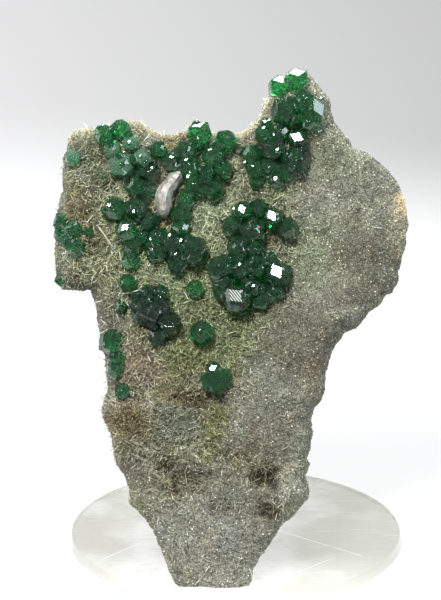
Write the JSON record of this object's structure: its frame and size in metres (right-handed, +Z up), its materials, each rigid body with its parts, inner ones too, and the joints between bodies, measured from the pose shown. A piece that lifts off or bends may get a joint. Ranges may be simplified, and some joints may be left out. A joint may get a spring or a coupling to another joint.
{
  "type": "grossular garnet specimen on matrix",
  "caption": "Upright slab of host rock with clusters of green dodecahedral garnet crystals, standing by its flat foot on a round clear acrylic base.",
  "frame": {"origin": "centre of the round acrylic base's underside, on the surface that it stands on", "axes": "+Z up, +X to the right seen from the front, +Y away from the viewer, so the crystals face -Y"},
  "size_m": [0.0535, 0.0508, 0.0793],
  "materials": {
    "clear_acrylic": "clear cast acrylic, polished, with fine scratches from handling",
    "host_rock": "rough sugary rock covered with sparkling grains and needles, grey-tan with olive patches",
    "lilac_blade": "translucent pinkish grey crystal blade, satin",
    "green_garnet": "see-through emerald green garnet with glassy crystal faces"
  },
  "bodies": {
    "root": {"acrylic_disc": "clear_acrylic", "host_rock": "host_rock", "lilac_blade": "lilac_blade", "garnet_cluster_upper_left": "green_garnet", "garnet_cluster_horn": "green_garnet", "garnet_cluster_centre": "green_garnet", "garnet_cluster_lower_left": "green_garnet", "garnet_cluster_left_edge": "green_garnet", "garnet_cluster_left_rim": "green_garnet", "garnet_trio_lower": "green_garnet", "garnet_single_shoulder": "green_garnet", "garnet_single_ledge": "green_garnet", "garnet_single_beside_edge": "green_garnet", "garnet_single_mid_left": "green_garnet", "garnet_single_small": "green_garnet", "garnet_single_mid": "green_garnet", "garnet_single_middle_right": "green_garnet", "garnet_single_low_left": "green_garnet"}
  },
  "joints": []
}
